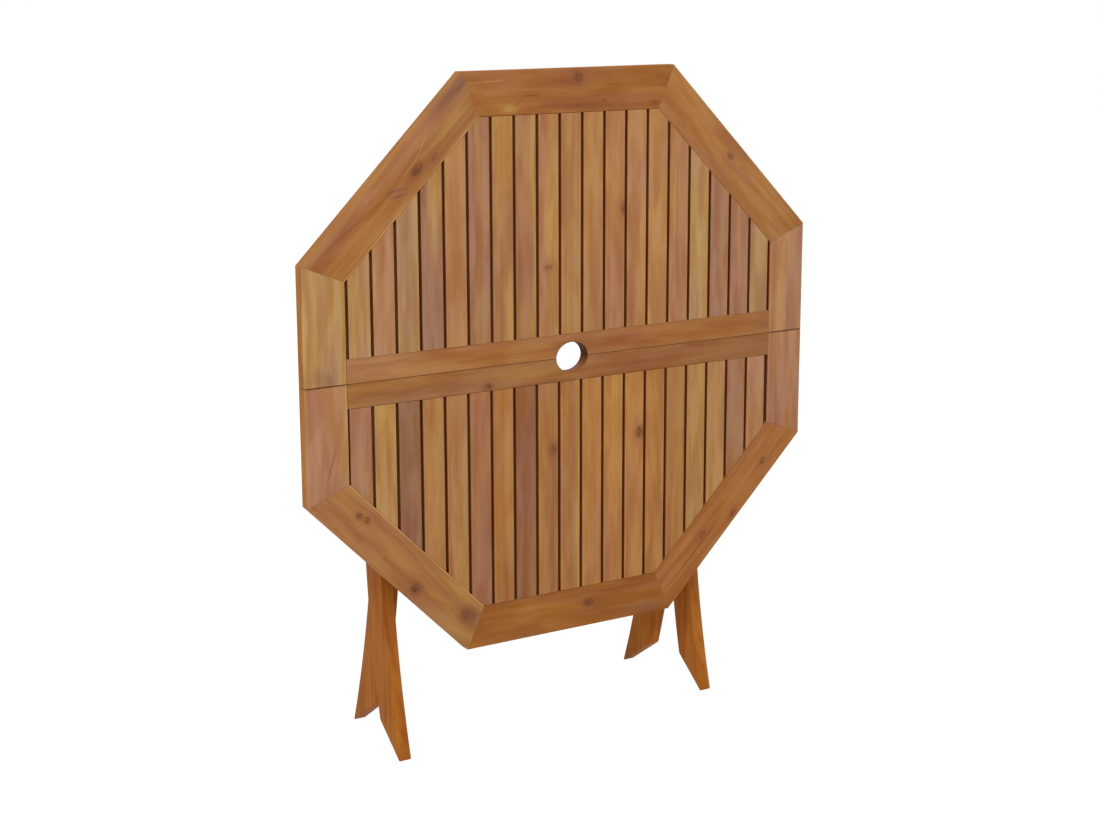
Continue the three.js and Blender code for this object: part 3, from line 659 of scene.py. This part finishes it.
# Tone, light and marks of each slat, from left to right.
UPPER = [
    ("pale", 1.04, {}),
    ("pink", 1.03, {}),
    ("pale", 0.99, dict(bands=[(12, 5, GOLDEN, 0.5)])),
    ("mauve", 1.02, dict(zones=0.6, patches=[(110, 6, 70, 12, GOLDEN, 0.8)])),
    ("tan", 1.00, dict(patches=[(0, 0, 90, 12, "orange", 0.5)])),
    ("pink", 0.88, dict(patches=[(230, -3, 60, 16, "red", 0.8)])),
    ("tan", 0.94, dict(
        patches=[(190, 0, 120, 16, GOLDEN, 0.6)], lines=[(-130, 10, 0.0, 0.0, 90, 5, GOLDEN, 0.6)])),
    ("brown", 0.99, dict(bands=[(13, 4, GOLDEN, 0.7)], patches=[(40, -6, 80, 10, ROSE, 0.5)])),
    ("tan", 1.02, dict(bands=[(8, 7, GOLDEN, 0.5), (-12, 5, ROSE, 0.5)], knots=[(-62, -1, 4, 7, 0.6)])),
    ("tan", 0.95, dict(zones=0.7, bands=[(0, 20, GOLDEN, 0.15)])),
    ("tan", 0.98, {}),
    ("brown", 1.10, dict(knots=[(19, 16, 10, 6, 0.7)])),
    ("tan", 1.04, dict(lines=[(60, 6, 0.0, 0.0, 90, 1.6, ROSE, 0.5)])),
    ("tan", 1.02, {}),
    ("brown", 1.08, dict(lines=[(40, -4, 0.01, 0.0, 90, 1.5, UMBER, 0.35)])),
    ("pale", 1.03, dict(bands=[(10, 8, GOLDEN, 0.3)])),
    ("mauve", 1.06, dict(zones=0.6)),
    ("mauve", 1.09, dict(zones=0.7, bands=[(-4, 7, "pink", 0.5)])),
    ("pale", 0.96, {}),
]
LOWER = [
    ("pink", 0.94, {}),
    ("gold", 1.00, dict(zones=0.55)),
    ("mauve", 0.81, dict(
        zones=0.5, patches=[(-40, 8, 50, 8, "red", 0.6), (-110, -6, 60, 12, HEATHER, 0.6)])),
    ("orange", 0.96, dict(zones=0.7, bands=[(0, 20, GOLDEN, 0.2)])),
    ("tan", 0.94, dict(zones=0.6, patches=[(-120, 6, 60, 8, GOLDEN, 0.6)])),
    ("red", 0.99, dict(
        lines=[(0, -5, 0.0, 0.0, 120, 3, ROSE, 0.5), (-40, 7, 0.0, 0.0, 80, 1.5, UMBER, 0.2)])),
    ("orange", 1.01, dict(patches=[(-120, -4, 60, 12, "russet", 0.5)])),
    ("red", 0.86, {}),
    ("orange", 0.92, dict(knots=[(62, 9, 9, 6, 0.6)])),
    ("orange", 1.00, dict(bands=[(12, 5, GOLDEN, 0.6)])),
    ("orange", 1.06, {}),
    ("orange", 1.05, {}),
    ("orange", 1.07, dict(knots=[(70, 10, 9, 8, 0.85)])),
    ("orange", 1.01, {}),
    ("orange", 0.93, dict(zones=0.6, bands=[(12, 4, GOLDEN, 0.15)])),
    ("gold", 0.93, dict(zones=0.6)),
    ("tan", 0.98, dict(zones=0.6, bands=[(0, 20, GOLDEN, 0.15)])),
    ("pink", 0.82, dict(zones=0.7)),
    ("pink", 0.98, {}),
]

for word, half, looks in [("upper", 1, UPPER), ("lower", -1, LOWER)]:
    for index, (tone, light, marks) in enumerate(looks):
        outline, upright, middle = slat_outline(index, half)
        seed = 20 + index + (0 if half > 0 else 40)
        # Rings and pith are scattered, so that no two neighbours look sawn from one plank.
        ringed = 7 + (index * 5 + (3 if half > 0 else 0)) % 9
        pith = ((index * 7) % 13 * 6.0 - 36, 14.0 + (index * 11) % 30)
        name = f"{word}_slat_{index + 1}"
        place = (middle, THICK / 2, outline[:, 1].mean() + CENTRE)
        # Both long edges of a slat get painted shade on their side walls and a painted highlight on their
        # arris.
        marks["edges"] = [(-SLAT / 2, "gap"), (SLAT / 2, "gap")]
        finish = wood(name, (0, 0, 1), (1, 0, 0), place, tone, light, seed, ringed, pith, 0.2, **marks)
        ease = np.where(upright, SLAT_ROUND, EASE)
        back = np.where(upright, SLAT_BACK, BACK_EASE)
        tongue = np.where(upright, SLAT_WAIST, -TONGUE)
        corner = "left" if index < CORNER_SLATS else "right" if index >= SLATS - CORNER_SLATS else None
        node = f"{word}_{corner}_corner_slats" if corner else name
        board(name, outline, ease, back, tongue, finish, node)


# ---- Legs


class LegLine:
    """The bowed middle line of a pair of legs: an arc through the pivot. bow is 1 where it bulges back.

    A place on it is a turn about the centre of the bow, and an offset behind the line.
    """

    def __init__(self, lean, bow):
        self.up = np.array([math.sin(lean), math.cos(lean)])
        self.back = np.array([math.cos(lean), -math.sin(lean)])
        self.lean, self.bow = lean, bow
        self.centre = PIVOT - self.back * bow * BOW

    def at(self, offset, turn):
        turn = np.atleast_1d(turn)[:, None]
        way = self.bow * np.cos(turn) * self.back + np.sin(turn) * self.up
        return self.centre + way * (BOW + self.bow * offset)

    def turn(self, spot):
        """The turn of a spot."""
        away = spot - self.centre
        return math.asin(away[1] / np.linalg.norm(away)) + self.bow * self.lean

    def floor(self, offset):
        """The turn at which the edge at an offset meets the floor."""
        return math.asin(-self.centre[1] / (BOW + self.bow * offset)) + self.bow * self.lean

    def across(self, turn):
        """The unit vectors square to the line, towards the back, and along it, upwards."""
        way = self.bow * math.cos(turn) * self.back + math.sin(turn) * self.up
        back = way * self.bow
        return back, np.array([-self.bow * way[1], self.bow * way[0]])

    def meet(self, start, direction, offset):
        """Where a ray from start first meets the edge at an offset."""
        radius = BOW + self.bow * offset
        away = start - self.centre
        b = away @ direction
        root = math.sqrt(b * b - away @ away + radius * radius)
        return start + direction * min(r for r in (-b - root, -b + root) if r > 0)


def rotated(spot, about, angle):
    """A spot turned about another."""
    c, s = math.cos(angle), math.sin(angle)
    x, y = spot - about
    return about + np.array([c * x - s * y, s * x + c * y])


def bow_angle(reach):
    """The turn between two places of the bow that are this far apart."""
    return 2 * math.asin(reach / (2 * BOW))


# The legs and the crossbar follow from the open table, which stands on the blunt tips of its feet: the
# inner legs open until their tips are level with the outer ones, and the top comes down on the crossbar.
to_hinge = HINGE - PIVOT
outer_lean = math.atan(to_hinge[0] / to_hinge[1]) + bow_angle(np.linalg.norm(to_hinge)) / 2
outer_line, inner_line = LegLine(outer_lean, 1), LegLine(-INNER_LEAN, -1)
hinge_turn = bow_angle(np.linalg.norm(to_hinge))
half_outer, half_inner = OUTER_LEG / 2, INNER_LEG / 2
outer_tip = outer_line.at(-half_outer, outer_line.floor(-half_outer))[0]
inner_tip = inner_line.at(half_inner, inner_line.floor(half_inner))[0]
outer_start = outer_tip + [FOOT_FLAT, 0]
inner_start = inner_tip - [FOOT_FLAT, 0]
step_out, step_in = PIVOT[0] - outer_start[0], inner_start[0] - PIVOT[0]
open_height = PIVOT[1] * math.cos(OUTER_OPEN) - step_out * math.sin(OUTER_OPEN)
INNER_OPEN = math.acos(open_height / math.hypot(PIVOT[1], step_in)) - math.atan(step_in / PIVOT[1])
tilt, spread = math.pi / 2 - OUTER_OPEN, OUTER_OPEN + INNER_OPEN
open_centre = rotated(rotated(inner_line.centre, PIVOT, spread), HINGE, tilt)
seat = THICK + BATTEN_DEPTH + BAR_SEAT
bar_open = np.array([seat, open_centre[1] - math.sqrt(BOW**2 - (seat - open_centre[0]) ** 2)])
bar_spot = rotated(rotated(bar_open, HINGE, -tilt), PIVOT, -spread)
bar_turn = bow_angle(np.linalg.norm(bar_spot - PIVOT))


def fillet(before, corner, after, radius, steps=7):
    """An arc of a radius that touches both sides of a corner."""
    a = (before - corner) / np.linalg.norm(before - corner)
    b = (after - corner) / np.linalg.norm(after - corner)
    half = math.acos(np.clip(a @ b, -1, 1)) / 2
    middle = corner + (a + b) / np.linalg.norm(a + b) * radius / math.sin(half)
    start = corner + a * radius / math.tan(half) - middle
    finish = corner + b * radius / math.tan(half) - middle
    share = np.linspace(0, 1, steps)[:, None]
    arc = start * (1 - share) + finish * share
    return middle + arc / np.linalg.norm(arc, axis=1)[:, None] * radius


def chamfer(before, corner, after, size):
    """The two ends of a cut across a corner."""
    ends = [corner + (spot - corner) / np.linalg.norm(spot - corner) * size for spot in (before, after)]
    return np.array(ends)


def round_end(centre, radius, back, up, first, last, steps):
    """The inner points of an arc from one turn to another, where 0 is back and a quarter is up."""
    turn = np.linspace(first, last, steps)[1:-1, None]
    return centre + radius * (np.cos(turn) * back + np.sin(turn) * up)


# Each edge of a leg ends with its number of points.


def outer_leg():
    """Side view of an outer leg: cut foot, back, round head, front with the stretcher's housing."""
    rise = np.array([math.cos(OUTER_OPEN), math.sin(OUTER_OPEN)])
    heel = outer_line.meet(outer_start, rise, half_outer)
    heel_turn = outer_line.turn(heel)
    back_edge = outer_line.at(half_outer, np.linspace(heel_turn, hinge_turn, 60))[1:]
    head = round_end(HINGE, half_outer, *outer_line.across(hinge_turn), 0, math.pi, 26)
    front = -half_outer
    ends = np.array([STOP_HIGH + FIT, STOP_LOW - FIT])
    upper, lower = [
        outer_line.turn(outer_line.meet(np.array([0.0, z]), np.array([1.0, 0.0]), front)) for z in ends
    ]
    high = outer_line.at(front, np.linspace(hinge_turn, upper, 34))
    low = outer_line.at(front, np.linspace(lower, outer_line.floor(front), 40))[:-1]
    toe = chamfer(low[-1], outer_tip, outer_start, TOE_CUT)
    housing = np.column_stack([np.full(2, STOP_BACK + FIT), ends])
    foot = fillet(outer_start, heel, back_edge[1], HEEL_ROUND)
    return np.vstack([outer_start[None], foot, back_edge, head, high, housing, low, toe])


def inner_leg():
    """Side view of an inner leg: front edge, square head with round corners, back edge and cut foot."""
    rise = np.array([-math.cos(INNER_OPEN), math.sin(INNER_OPEN)])
    heel = inner_line.meet(inner_start, rise, -half_inner)
    heel_turn = inner_line.turn(heel)
    back, up = inner_line.across(bar_turn)
    reach = half_inner - BAR_MARGIN
    behind, ahead = bar_spot + back * reach, bar_spot - back * reach
    back_edge = inner_line.at(half_inner, np.linspace(inner_line.floor(half_inner), bar_turn, 90))[1:]
    toe = chamfer(inner_start, inner_tip, back_edge[0], TOE_CUT)
    corner_back = round_end(behind, BAR_MARGIN, back, up, 0, math.pi / 2, 12)
    corner_front = round_end(ahead, BAR_MARGIN, back, up, math.pi / 2, math.pi, 12)
    flat = np.array([behind + up * BAR_MARGIN, ahead + up * BAR_MARGIN])
    front_edge = inner_line.at(-half_inner, np.linspace(bar_turn, heel_turn, 60))[:-1]
    foot = fillet(front_edge[-1], heel, inner_start, HEEL_ROUND)
    return np.vstack([toe, back_edge, corner_back, flat, corner_front, front_edge, foot, inner_start[None]])


def rounded_box(y0, y1, z0, z1, radius=2.5):
    """A rectangle in side view with round corners."""
    corners = np.array([[y0, z0], [y1, z0], [y1, z1], [y0, z1]], float)
    before, after = np.roll(corners, 1, 0), np.roll(corners, -1, 0)
    return np.vstack([fillet(*sides, radius) for sides in zip(before, corners, after)])


def batten():
    """Side view of a batten: sloped lower end, notch for the crossbar, thin head and tail."""
    face, back, end = THICK + FIT, THICK + BATTEN_DEPTH, THICK + BATTEN_END
    hollow = BAR + FIT
    turn = math.acos(BAR_SEAT / hollow)
    low = min(STOP_LOW, bar_open[1] - hollow)
    arc = np.linspace(math.pi + turn, math.pi - turn, 15)
    notch = bar_open + hollow * np.column_stack([np.cos(arc), np.sin(arc)])
    thin, high = HINGE[0] + HINGE_WALL, HINGE[1] + BATTEN_HEAD
    start = np.array([[face, low - BATTEN_TAIL], [end, low - BATTEN_TAIL], [back, low]])
    waist = np.array([[back, -BATTEN_TAPER], [thin, -HINGE_HALF], [thin, HINGE_HALF]]) + [0, HINGE[1]]
    return np.vstack([start, notch, waist, [[end, high], [face, high]]])


LEG_FIGURE = dict(figure=0.5, zones=0.5)
# Name, outline, outer face, thickness, arris, body, slot, middle, light, rings, pith and figure of each.
UPRIGHTS = [
    ("outer_{}_leg", outer_leg(), OUTER_FACE, LEG_THICK, LEG_ARRIS, "outer_frame", "leg_wood",
     (90, 430), 1.0, 10, (6, 30), LEG_FIGURE),
    ("inner_{}_leg", inner_leg(), INNER_FACE, LEG_THICK, LEG_ARRIS, "inner_frame", "leg_wood",
     (120, 430), 1.0, 11, (-8, 26), LEG_FIGURE),
    ("{}_batten", batten(), BATTEN_FACE, BATTEN_THICK, BATTEN_ARRIS, "top", "hidden_wood",
     (45, 600), 0.9, 9, (12, 34), {}),
]
for word, hand, seed in [("left", -1, 90), ("right", 1, 80)]:
    x = hand * (OUTER_FACE - LEG_THICK / 2)
    for offset, row in enumerate(UPRIGHTS):
        name, outline, far, thick, arris, body, slot, (y, z), light, rings, pith, more = row
        name = name.format(word)
        look = ("copper", light, seed + offset, rings, pith)
        finish = wood(name, (0, 0, 1), (0, 1, 0), (x, y, z), *look, **more)
        side_board(name, outline, *sorted([hand * (far - thick), hand * far]), arris, body, finish, slot)


def level_wood(name, y, z, light, seed, rings, pith):
    """Wood of a crosspiece: its grain runs from side to side."""
    return wood(name, (1, 0, 0), (0, 0, 1), (0, y, z), "copper", light, seed, rings, pith)


outline = rounded_box(STOP_FACE, STOP_BACK, STOP_LOW, STOP_HIGH)
finish = level_wood("outer_stretcher", 79, 323, 0.9, 100, 9, (5, 30))
side_board(
    "outer_stretcher", outline, -OUTER_FACE, OUTER_FACE, STOP_ARRIS, "outer_frame", finish, "hidden_wood"
)

brace_turn = -math.asin((PIVOT[1] - (STOP_LOW + STOP_HIGH) / 2) / BOW)
brace_spot = inner_line.at(0, brace_turn)[0]
_, brace_up = inner_line.across(brace_turn)
brace_lean = math.atan2(brace_up[1], brace_up[0]) - math.pi / 2
brace = rounded_box(-BRACE_THICK / 2, BRACE_THICK / 2, -BRACE_DEEP / 2, BRACE_DEEP / 2)
brace = np.array([rotated(p, np.zeros(2), brace_lean) for p in brace]) + brace_spot
side = INNER_FACE - LEG_THICK - FIT
finish = level_wood("inner_stretcher", 115, 320, 0.9, 101, 10, (8, 36))
side_board("inner_stretcher", brace, -side, side, BRACE_ARRIS, "inner_frame", finish, "hidden_wood")

quarter = np.linspace(0, math.pi / 2, 6)
bar_end = INNER_FACE - FIT
end = [bar_end, BAR] + BAR_ROUND * (np.column_stack([np.cos(quarter), np.sin(quarter)]) - 1)
profile = np.vstack([[bar_end, 0], end, end[::-1] * [-1, 1], [-bar_end, 0]])
finish = level_wood("crossbar", *bar_spot, 0.95, 102, 6, (20, 12))
lathe("crossbar", profile, bar_spot, "inner_frame", finish)


# ---- Bolts


def speckled(name, scale, detail, first, second, change, rough, **fixed):
    """A plain material with a fine cloud, scale to the metre, that mixes two colours and roughens it."""
    f = material(name)
    place = f.node("ShaderNodeTexCoord")["Object"]
    cloud = f.noise(f.node("ShaderNodeVectorMath", {"operation": "SCALE"}, {0: place, 3: scale})[0], detail)
    return f.surface(f.mix(cloud, first, second), cloud * change + rough, **fixed)


ZINC = speckled("zinc", 420.0, 3.0, (0.50, 0.50, 0.49, 1), (0.62, 0.62, 0.60, 1), 0.2, 0.22, Metallic=1.0)
NYLON = speckled("nylon", 900.0, 2.0, (0.62, 0.6, 0.54, 1), (0.7, 0.68, 0.62, 1), 0.1, 0.45)


def ring_section(x0, x1, bore, radius, ease):
    """A ring's section with eased corners, closed on itself."""
    outer = [(x0, radius - ease), (x0 + ease, radius), (x1 - ease, radius), (x1, radius - ease)]
    return np.array([(x0, bore), *outer, (x1, bore), (x0, bore)])


def bolt_section(tip, thread_end, seat):
    """A bolt from its tip along its shank to its domed head, and the ends of its thread."""
    threads = np.arange(tip + 0.8, thread_end, 0.12)
    point = [(tip, 0), (tip, BOLT - 0.9), (tip + 0.6, BOLT - 0.35)]
    thread = np.column_stack([threads, np.full(len(threads), BOLT - THREAD_DEEP)])
    shank = [(threads[-1] + 0.2, BOLT - 0.02), (seat, BOLT - 0.02)]
    lip = [(seat, HEAD - 0.6), (seat + 0.3, HEAD - 0.1)]
    turn = np.linspace(0, math.pi / 2, 12)[1:]
    dome = np.column_stack([seat + HEAD_HIGH * np.sin(turn), HEAD * np.cos(turn)])
    return np.vstack([point, thread, shank, lip, dome]), (threads[0] - 1e-9, threads[-1] + 1e-9)


def nut_section(x0, x1):
    """A nut whose corners are taken off at both ends."""
    half = [(0, BOLT + 0.2), (0, 6.3), (0.5, 7.15), (0.75, NUT)]
    first, second = [(x0 + x, r) for x, r in half], [(x1 - x, r) for x, r in half[::-1]]
    return np.array([*first, *second, first[0]])


def hexagon(turn, x, r):
    """The radius of a hexagon round the axis, outside the bore."""
    sector = np.mod(turn, math.pi / 3) - math.pi / 6
    flat = NUT * math.cos(math.pi / 6) / np.cos(sector)
    return np.where(r > BOLT + 1, np.minimum(r, flat), r)


for word, hand in [("left", -1), ("right", 1)]:
    for kind, spot, inside in [
        ("pivot", PIVOT, INNER_FACE - LEG_THICK - FIT),
        ("hinge", HINGE, BATTEN_FACE - BATTEN_THICK - FIT),
    ]:
        near = inside - NUT_HIGH
        profile, threaded = bolt_section(near - BOLT_END, near + 0.4, OUTER_FACE + FIT)

        def screw(turn, x, r, low=threaded[0], high=threaded[1]):
            """A screw thread: the radius waves once for each pitch along and once round the axis."""
            on = (np.abs(x) >= low) & (np.abs(x) <= high) & (r < BOLT)
            return np.where(on, r - THREAD_DEEP * (1 + np.cos(2 * math.pi * x / PITCH - turn)) / 2, r)

        name = f"{word}_{kind}_bolt"
        lathe(name, profile * [hand, 1], spot, "outer_frame", ZINC, 48, screw)
        name = f"{word}_{kind}_nut"
        lathe(name, nut_section(near, inside) * [hand, 1], spot, "outer_frame", ZINC, 72, hexagon)
    sleeve = ring_section(BATTEN_FACE + FIT, OUTER_FACE - LEG_THICK - FIT, BOLT + FIT, SLEEVE, 0.5)
    lathe(f"{word}_hinge_sleeve", sleeve * [hand, 1], HINGE, "outer_frame", ZINC)
    washer = ring_section(INNER_FACE + FIT, INNER_FACE + FIT + WASHER_THICK, BOLT + FIT, WASHER, 0.15)
    lathe(f"{word}_pivot_washer", washer * [hand, 1], PIVOT, "outer_frame", NYLON)


# ---- Studio


FLOOR_HALF, FLOOR_GREY = 14.0, 0.92
FLOOR_GLOW, FLOOR_SHARE = 1.12, 0.82  # how strongly the floor glows, and its share in what the camera sees
WORLD_LIGHT, WORLD_SEEN = 0.55, 1.0
LAMPS = [  # name, place, aim, size and power
    ("key", (-2.6, -3.4, 3.4), (0, 0, 0.55), 2.2, 95.0),
    ("fill", (3.2, -2.6, 1.8), (0, 0, 0.5), 2.6, 32.0),
    ("back", (0.6, 3.4, 2.6), (0, 0, 0.5), 2.4, 40.0),
]
SENSOR, LENS = 36.0, 65.324
VIEW_RIGHT, VIEW_UP = (0.846871, -0.531791, -0.002729), (0.118646, 0.183935, 0.975751)
VIEW_BACK = (-0.518394, -0.826659, 0.218864)
VIEWPOINT = (-1.624786, -2.528451 + FRONT, 1.193733)


def stand(name, data, right, up, back, spot):
    """An object at a spot, turned so that its own axes point right, up and back."""
    thing = bpy.data.objects.new(name, data)
    turn = np.column_stack([right, up, back, spot])
    thing.matrix_world = Matrix(np.vstack([turn, [0, 0, 0, 1]]).tolist())
    bpy.context.scene.collection.objects.link(thing)
    return thing


def floor():
    """A white floor that keeps the table's soft shadow, and is plain white to glossy rays."""
    f = material("studio_white")
    path = f.node("ShaderNodeLightPath")
    diffuse = f.node("ShaderNodeBsdfDiffuse", None, {"Color": (FLOOR_GREY, FLOOR_GREY, FLOOR_GREY, 1)})[0]
    glow = f.node("ShaderNodeEmission", None, {"Color": (1, 1, 1, 1), "Strength": FLOOR_GLOW})[0]
    seen = Number(f, path["Is Glossy Ray"]).math("MAXIMUM", path["Is Transmission Ray"])
    share = seen.math("MAXIMUM", Number(f, path["Is Camera Ray"]) * FLOOR_SHARE)
    mixed = f.node("ShaderNodeMixShader", None, {0: share, 1: diffuse, 2: glow})[0]
    f.node("ShaderNodeOutputMaterial", None, {0: mixed})
    mesh = bpy.data.meshes.new("floor")
    corners = [(x * FLOOR_HALF, y * FLOOR_HALF, 0) for x, y in [(-1, -1), (1, -1), (1, 1), (-1, 1)]]
    mesh.from_pydata(corners, [], [(0, 1, 2, 3)])
    mesh.materials.append(f.owner)
    thing = bpy.data.objects.new("floor", mesh)
    bpy.context.scene.collection.objects.link(thing)


def world():
    """A plain world: white where it is seen, and dimmer as a light."""
    f = Finish(bpy.data.worlds.new("studio"))
    bpy.context.scene.world = f.owner
    path = f.node("ShaderNodeLightPath")
    seen = Number(f, path["Is Camera Ray"]).math("MAXIMUM", path["Is Glossy Ray"])
    strength = f.node("ShaderNodeMapRange", None, {0: seen, 3: WORLD_LIGHT, 4: WORLD_SEEN})[0]
    glow = f.node("ShaderNodeBackground", None, {"Color": (1, 1, 1, 1), "Strength": strength})[0]
    f.node("ShaderNodeOutputWorld", None, {0: glow})


def lamps():
    """Three soft lights."""
    for name, spot, aim, size, power in LAMPS:
        lamp = bpy.data.lights.new(name, "AREA")
        lamp.size = size
        lamp.energy = power
        back = np.array(spot) - np.array(aim)
        back /= np.linalg.norm(back)
        right = np.cross([0, 0, 1], back)
        right /= np.linalg.norm(right)
        stand(name, lamp, right, np.cross(back, right), back, spot)


def camera():
    """The photograph's viewpoint: left of the table, a little above its middle."""
    view = bpy.data.cameras.new("camera")
    view.sensor_width = SENSOR
    view.lens = LENS
    bpy.context.scene.camera = stand("camera", view, VIEW_RIGHT, VIEW_UP, VIEW_BACK, VIEWPOINT)


floor()
world()
lamps()
camera()
bpy.context.scene.view_settings.view_transform = "Standard"
